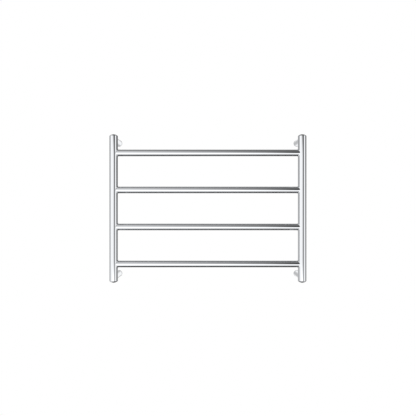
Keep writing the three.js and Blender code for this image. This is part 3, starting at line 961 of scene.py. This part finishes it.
class RACK_OT_heating_cable(bpy.types.Operator):
    """Builds the heating cable through every bar, with its end seal"""

    bl_idname = "towel_rack.heating_cable"
    bl_label = "Heating cable"

    def execute(self, context):
        side = SUPPLY_SIDE
        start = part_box("heating_cable")[1].y
        route = [Vector((side * POST_X, start, -LEG_Z)), Vector((side * POST_X, POST_Y, -LEG_Z))]
        for height in reversed(BAR_HEIGHTS):
            route.append(Vector((side * POST_X, POST_Y, height)))
            side = -side
            route.append(Vector((side * POST_X, POST_Y, height)))
        seal_low, seal_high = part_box("heating_cable_end_seal")
        near = seal_low.x if side > 0 else seal_high.x
        route[-1].x = near - side * GAP
        radius = sizes().cable_diameter / 2
        silicone = heating_silicone()
        way = square_route(route, sizes().cable_bend)
        cable = cable_along("heating_cable_run", way, radius, 24, silicone)
        dress(cable, silicone, "heating_silicone", "rack", "heating_cable")
        seal_place = (near, POST_Y, BAR_HEIGHTS[0])
        seal_radius = (seal_high.z - seal_low.z) / 2
        length = seal_high.x - seal_low.x
        grip = radius + 0.4 * MM
        seal = shrunk_sleeve("cable_end_boot", seal_radius, grip, length, seal_place, (side, 0, 0))
        dress(seal, heat_shrink(), "heat_shrink", "rack", "heating_cable_end_seal")
        return {"FINISHED"}


class RACK_OT_supply(bpy.types.Operator):
    """Builds the supply flex, its splice to the heating cable and the grommet that it comes through"""

    bl_idname = "towel_rack.supply"
    bl_label = "Supply wiring"

    def execute(self, context):
        x = SUPPLY_SIDE * POST_X
        low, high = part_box("splice_sleeve")
        grip = sizes().flex_diameter / 2 + 0.5 * MM
        splice_radius = (high.z - low.z) / 2
        place = (x, high.y, -LEG_Z)
        splice = shrunk_sleeve("splice_boot", splice_radius, grip, high.y - low.y, place, (0, -1, 0))
        dress(splice, heat_shrink(), "heat_shrink", "rack", "splice_sleeve")
        flex_low, flex_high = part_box("supply_flex")
        grommet = middle("cable_grommet")
        level = high.y + 5 * MM
        straight = -7 * MM
        drop = -LEG_Z - grommet.z
        shares = ((0.25, 0.9), (0.5, 0.5), (0.75, 0.1))
        points = [Vector((x, flex_high.y, grommet.z)), Vector((x, straight, grommet.z))]
        for along, height in shares:
            points.append(Vector((x, straight + along * (level - straight), -LEG_Z - drop * height)))
        points += [Vector((x, level, -LEG_Z)), Vector((x, flex_low.y, -LEG_Z))]
        sheath = flex_sheath()
        radius = sizes().flex_diameter / 2
        flex = cable_along("supply_flex_tail", smooth_route(points), radius, 32, sheath)
        dress(flex, sheath, "flex_sheath", "rack", "supply_flex")
        collar_low, collar_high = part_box("cable_grommet")
        collar = (collar_high.x - collar_low.x) / 2
        hole = radius + 0.15 * MM
        body = collar - 0.75 * MM
        depth = collar_high.y - collar_low.y
        corners = [
            (hole, 0, 0.2 * MM),
            (hole, depth, 0.3 * MM),
            (collar, depth, 0.4 * MM),
            (collar, depth - MM, 0.3 * MM),
            (body, depth - MM, 0.1 * MM),
            (body, 0, 0.2 * MM),
        ]
        place = (x, collar_high.y, grommet.z)
        bush = turned("grommet_bush", rounded(corners, True), place, (0, -1, 0), TURNED_SIDES, closed=True)
        dress(bush, seal_rubber(), "seal_rubber", "wall_brackets", "cable_grommet")
        return {"FINISHED"}


class RACK_OT_earth_bond(bpy.types.Operator):
    """Builds the earth screw, its tag and its wire, and finishes the plate that they are on"""

    bl_idname = "towel_rack.earth_bond"
    bl_label = "Earth bond"

    def execute(self, context):
        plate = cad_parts["earth_plate"]
        plate.data.materials.clear()
        plate.data.materials.append(turned_stainless())
        self.screw()
        end = self.tag()
        self.wire(end)
        return {"FINISHED"}

    def screw(self):
        """The pan-head screw, its axis along X."""
        low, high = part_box("earth_screw")
        head = (high.z - low.z) / 2
        shank = 1.5 * MM
        rise = 1.8 * MM  # of the head
        wing, blade = 3 * MM, 0.7 * MM  # span and thickness of the cross recess
        pitch = 0.5 * MM
        core = shank - THREAD_RIDGE * pitch
        place = (low.x, (low.y + high.y) / 2, (low.z + high.z) / 2)
        length = high.x - low.x
        corners = [
            (0, 0, 0),
            (head, 0, 0.9 * MM),
            (head, rise, 0.15 * MM),
            (core, rise, 0.1 * MM),
            (core, length, 0.25 * MM),
            (0, length, 0),
        ]
        screw = turned("earth_pan_screw", rounded(corners), place, (1, 0, 0), SMALL_SIDES)
        steel = screw_steel()
        values = {
            "Radius": core,
            "Pitch": pitch,
            "Turns": (length - rise - 1.4 * pitch) / pitch,
            "Start": (low.x + rise + 0.7 * pitch, place[1], place[2]),
            "Turn": (0.0, math.pi / 2, 0.0),
            "Material": steel,
        }
        blades = []
        for wide, tall in ((wing, blade), (blade, wing)):
            bm = bmesh.new()
            size = Matrix.Diagonal((rise, wide, tall, 1))
            bmesh.ops.create_cube(bm, size=1, matrix=Matrix.Translation(place) @ size)
            blades.append(finished_mesh("driver_blade", bm))
        drill(screw, blades)
        grow(screw, thread_tree(), values)
        dress(screw, steel, "screw_steel", "rack", "earth_screw")

    def tag(self):
        """The ring tag with its crimped barrel. Returns the middle of the barrel's mouth."""
        low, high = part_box("earth_tag")
        thick = 0.8 * MM
        ring = (high.z - low.z) / 2
        eye = 1.65 * MM
        centre = Vector((high.x, low.y + ring, (low.z + high.z) / 2))
        barrel = 1.3 * MM
        barrel_x = high.x - thick - 0.3 * MM - thick / 2
        reach = 3.4 * MM
        bm = bmesh.new()
        disc = [
            (eye, 0, 0.1 * MM), (ring, 0, 0.15 * MM), (ring, thick, 0.15 * MM), (eye, thick, 0.1 * MM)
        ]
        add_rings(bm, turned_rings(rounded(disc, True), centre, (-1, 0, 0), TURNED_SIDES), True)
        crimp = [
            (0, 0, 0),
            (barrel, 0, 0.2 * MM),
            (barrel, 1.1 * MM, 0.3 * MM),
            (barrel * 0.82, 2 * MM, 0.4 * MM),
            (barrel, 2.9 * MM, 0.3 * MM),
            (barrel, high.y - centre.y - reach, 0.2 * MM),
            (0, high.y - centre.y - reach, 0),
        ]
        mouth = Vector((barrel_x, centre.y + reach, centre.z))
        add_rings(bm, turned_rings(rounded(crimp), mouth, (0, 1, 0), SMALL_SIDES), False)
        strip = Matrix.Diagonal((thick, reach - ring + 2 * MM, 2.2 * MM, 1))
        neck = Vector((high.x - thick / 2 - 0.3 * MM, centre.y + (reach + ring) / 2, centre.z))
        bmesh.ops.create_cube(bm, size=1, matrix=Matrix.Translation(neck) @ strip)
        tag = finished_mesh("earth_ring_tag", bm)
        dress(tag, tinned_brass(), "tinned_brass", "rack", "earth_tag")
        return Vector((barrel_x, high.y, centre.z))

    def wire(self, end):
        """The wire from the splice to the tag, swung aside once it is inside the post."""
        low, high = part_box("earth_wire")
        x = SUPPLY_SIDE * POST_X
        radius = sizes().earth_wire_diameter / 2
        bore = POST_RADIUS - sizes().post_wall
        base = low.z + radius
        rise = end.z - base
        points = [
            Vector((x + 3.5 * MM, high.y, base)),
            Vector((x + 3.7 * MM, high.y - 4 * MM, base)),
            Vector((x + 4 * MM, POST_Y + POST_RADIUS, base + 0.2 * rise)),
            Vector((x + 4.9 * MM, POST_Y + bore - 1.3 * MM, base + 0.5 * rise)),
            Vector((end.x - 0.9 * MM, low.y + 2.8 * MM, base + 0.9 * rise)),
            Vector((end.x, low.y + MM, end.z)),
            Vector((end.x, low.y, end.z)),
        ]
        material = earth_insulation()
        wire = cable_along("earth_wire_run", smooth_route(points), radius, 24, material)
        dress(wire, material, "earth_insulation", "rack", "earth_wire")


# ------------------------------------------------------------------ studio

# What the polished tubes see round about, as (degrees, sRGB grey). 0 is towards the camera and 90 to its
# right: a wide pale card on the left, a narrow dark flag, a second pale card and a dim right.
ROUND_ABOUT = (
    (-180, 150), (-165, 178), (-115, 150), (-91, 148), (-75, 222), (-63, 250), (-40, 254),
    (-15, 246), (3, 234), (10, 208), (15, 110), (19, 56), (33, 56), (38, 120), (44, 238), (62, 250),
    (74, 228), (84, 152), (97, 95), (113, 66), (165, 66), (180, 150),
)
# What they see over and under the rack, on the left and on the right. 90 is up and -90 is down: a lit
# table low in front, black cloth behind it, and a ceiling that is pale on the left and dark on the right.
# A grey over 255 is a card that is brighter than the white background.
OVER_LEFT = (
    (-180, 150), (-156, 110), (-149, 15), (-85, 15), (-79, 110), (-70, 176), (-48, 206), (-41, 270),
    (-34, 300), (-8, 296), (2, 236), (10, 216), (26, 200), (60, 186), (76, 172), (90, 112),
    (114, 92), (132, 90), (150, 190), (180, 220),
)
OVER_RIGHT = (
    (-180, 150), (-156, 110), (-149, 15), (-85, 15), (-79, 100), (-70, 150), (-48, 190), (-41, 240),
    (-32, 270), (-10, 262), (-3, 180), (3, 42), (30, 30), (40, 80), (52, 118), (80, 122), (95, 88),
    (114, 70), (132, 70), (150, 180), (180, 220),
)

CLOTH_GLOW = 1.12  # strength of the cloth's light
FLOOR_GLOW = 0.2  # share of the floor's light in the low cloth
FLOOR_GREY = 240
WALL_GREYS = (186, 246)  # left and right
# Where one cloth gives way to the next, as parts of a direction that has the length 1.
LOW_CLOTH = {"From Min": 0.22, "From Max": -0.22}
TOP_HALVES = {"From Min": -0.25, "From Max": 0.25}
STEEP_CLOTH = {"From Min": 0.15, "From Max": 0.24}
MIDDLE_CLOTH = {"From Min": 0.29, "From Max": 0.45, "To Min": 1.0, "To Max": 0.0}
WALL_HALVES = {"From Min": -0.16, "From Max": 0.16}
WALL_EDGE = {"From Min": 0.90, "From Max": 0.95}

FLOOR_PLACE = -1.1  # the floor's middle, in front of the wall
FLOOR_RADIUS = 1.7
SOFTBOXES = {"softbox_left": (-1.6, -1.8, 1.2), "softbox_right": (1.5, -1.4, 1.5)}
SOFTBOX_SIZE = (1.4, 1.0)


def stops_of(pairs):
    """Ramp stops from (degrees, grey) pairs that run from -180 to 180."""
    return [((degrees + 180) / 360, linear(grey)) for degrees, grey in pairs]


def tent_material():
    """Lit cloth of a light tent, with its cards and flags. The eye gets the bands in the polished tube."""
    material = bpy.data.materials.new("tent_cloth")
    material.use_nodes = True
    tree = material.node_tree
    tree.nodes.clear()
    soft = {"interpolation_type": "SMOOTHSTEP"}
    place = add_node(tree, "ShaderNodeTexCoord")
    way = add_node(tree, "ShaderNodeVectorMath", {0: place.outputs["Object"]}, operation="NORMALIZE")
    parts = add_node(tree, "ShaderNodeSeparateXYZ", {"Vector": way})
    right, back, up = (parts.outputs[i] for i in range(3))
    front = add_node(tree, "ShaderNodeMath", {0: back, 1: -1.0}, operation="MULTIPLY")
    # One ramp of cloth round the sides, and one over the top for each half of the tent.
    greys = []
    for rise, pairs in ((right, ROUND_ABOUT), (up, OVER_LEFT), (up, OVER_RIGHT)):
        turn = add_node(tree, "ShaderNodeMath", {0: rise, 1: front}, operation="ARCTAN2")
        limits = {"Value": turn, "From Min": -math.pi, "From Max": math.pi}
        share = add_node(tree, "ShaderNodeMapRange", limits)
        greys.append(add_node(tree, "ShaderNodeValToRGB", {"Fac": share}, stops=stops_of(pairs)))
    # The floor throws some light back, so what is low is paler.
    low = add_node(tree, "ShaderNodeMapRange", {"Value": up, **LOW_CLOTH, "To Max": FLOOR_GLOW})
    sides = add_node(
        tree, "ShaderNodeMix", {0: low, 6: greys[0], 7: linear(FLOOR_GREY)}, data_type="RGBA"
    )
    across = add_node(tree, "ShaderNodeMapRange", {"Value": right, **TOP_HALVES})
    over = add_node(tree, "ShaderNodeMix", {0: across, 6: greys[1], 7: greys[2]}, data_type="RGBA")
    # The ramps over the top hold where the cloth is high or low and not far to the side.
    tall = add_node(tree, "ShaderNodeMath", {0: up}, operation="ABSOLUTE")
    steep = add_node(tree, "ShaderNodeMapRange", {"Value": tall, **STEEP_CLOTH}, **soft)
    wide = add_node(tree, "ShaderNodeMath", {0: right}, operation="ABSOLUTE")
    ahead = add_node(tree, "ShaderNodeMapRange", {"Value": wide, **MIDDLE_CLOTH}, **soft)
    both = add_node(tree, "ShaderNodeMath", {0: steep, 1: ahead}, operation="MULTIPLY")
    mixed = {0: both, 6: sides.outputs[2], 7: over.outputs[2]}
    cloth = add_node(tree, "ShaderNodeMix", mixed, data_type="RGBA")
    # The wall behind is pale, and a little paler on the right. Only the legs see it.
    paler = add_node(tree, "ShaderNodeMapRange", {"Value": right, **WALL_HALVES}, **soft)
    mixed = {0: paler, 6: linear(WALL_GREYS[0]), 7: linear(WALL_GREYS[1])}
    wall = add_node(tree, "ShaderNodeMix", mixed, data_type="RGBA")
    behind = add_node(tree, "ShaderNodeMapRange", {"Value": back, **WALL_EDGE}, **soft)
    mixed = {0: behind, 6: cloth.outputs[2], 7: wall.outputs[2]}
    seen = add_node(tree, "ShaderNodeMix", mixed, data_type="RGBA")
    glow = add_node(tree, "ShaderNodeEmission", {"Color": seen.outputs[2], "Strength": CLOTH_GLOW})
    add_node(tree, "ShaderNodeOutputMaterial", {"Surface": glow})
    material.cycles.emission_sampling = "NONE"
    return material


def studio_world():
    """Even white surroundings."""
    world = bpy.data.worlds.new("studio")
    world.use_nodes = True
    tree = world.node_tree
    tree.nodes.clear()
    plain = add_node(tree, "ShaderNodeBackground", {"Color": (1, 1, 1, 1), "Strength": 1.0})
    add_node(tree, "ShaderNodeOutputWorld", {"Surface": plain})
    return world


def floor_material():
    """Matt white studio board. The eye gets a pale, even ground with a barely mottled tone."""
    return mottled("matt_studio_board", colours().floor, 30, 0.75, 0.85, 0.05, tone=0.98)


class RACK_OT_stage(bpy.types.Operator):
    """Builds the pale floor, the soft lights, the white surroundings and the camera"""

    bl_idname = "towel_rack.stage"
    bl_label = "Studio"

    def execute(self, context):
        scene = context.scene
        studio = scene.rack_studio
        scene.world = studio_world()
        scene.view_settings.view_transform = "Standard"
        bm = bmesh.new()
        place = Matrix.Translation((0, FLOOR_PLACE, -studio.floor_drop))
        bmesh.ops.create_circle(bm, cap_ends=True, segments=128, radius=FLOOR_RADIUS, matrix=place)
        floor = finished_mesh("pale_floor", bm)
        floor.data.materials.append(floor_material())
        floor.visible_glossy = False
        bm = bmesh.new()
        bmesh.ops.create_icosphere(bm, subdivisions=5, radius=studio.tent_radius)
        tent = finished_mesh("light_tent", bm)
        tent.data.materials.append(tent_material())
        for ray in ("camera", "diffuse", "transmission", "volume_scatter", "shadow"):
            setattr(tent, "visible_" + ray, False)
        for name, place in SOFTBOXES.items():
            lamp = bpy.data.lights.new(name, "AREA")
            lamp.shape = "RECTANGLE"
            lamp.size, lamp.size_y = SOFTBOX_SIZE
            lamp.energy = studio.softbox_power
            light = linked(name, lamp)
            light.location = place
            aim = Vector((0, POST_Y, 0)) - Vector(place)
            light.rotation_euler = aim.to_track_quat("-Z", "Y").to_euler()
            light.visible_glossy = False
        lens = bpy.data.cameras.new("front_camera")
        lens.lens = studio.lens
        lens.sensor_width = 36
        camera = linked("front_camera", lens)
        camera.location = (studio.aim_x, -studio.distance, studio.aim_z)
        camera.rotation_euler = (math.pi / 2, 0, 0)
        scene.camera = camera
        return {"FINISHED"}


# ------------------------------------------------------------------ the add-on

STEPS = (
    RACK_OT_stage,
    RACK_OT_posts,
    RACK_OT_bars,
    RACK_OT_legs,
    RACK_OT_end_caps,
    RACK_OT_cap_seals,
    RACK_OT_wall_bosses,
    RACK_OT_grub_screws,
    RACK_OT_heating_cable,
    RACK_OT_supply,
    RACK_OT_earth_bond,
)


class VIEW3D_PT_towel_rack(bpy.types.Panel):
    """Lists the rack's sizes, colours and making steps"""

    bl_label = "Towel rack"
    bl_space_type = "VIEW_3D"
    bl_region_type = "UI"
    bl_category = "Towel rack"

    def draw(self, context):
        scene = context.scene
        for group in (scene.rack_sizes, scene.rack_colours, scene.rack_studio):
            box = self.layout.box()
            for name in group.bl_rna.properties.keys():
                if name not in ("rna_type", "name"):
                    box.prop(group, name)
        for step in STEPS:
            self.layout.operator(step.bl_idname)


GROUPS = {"rack_sizes": RackSizes, "rack_colours": RackColours, "rack_studio": StudioSettings}


def register():
    for group in GROUPS.values():
        bpy.utils.register_class(group)
    for name, group in GROUPS.items():
        setattr(bpy.types.Scene, name, bpy.props.PointerProperty(type=group))
    for step in STEPS:
        bpy.utils.register_class(step)
    bpy.utils.register_class(VIEW3D_PT_towel_rack)


def unregister():
    bpy.utils.unregister_class(VIEW3D_PT_towel_rack)
    for step in reversed(STEPS):
        bpy.utils.unregister_class(step)
    for name in GROUPS:
        delattr(bpy.types.Scene, name)
    for group in GROUPS.values():
        bpy.utils.unregister_class(group)


def main():
    register()
    for step in STEPS:
        group, name = step.bl_idname.split(".")
        getattr(getattr(bpy.ops, group), name)()


if __name__ == "__main__":
    main()
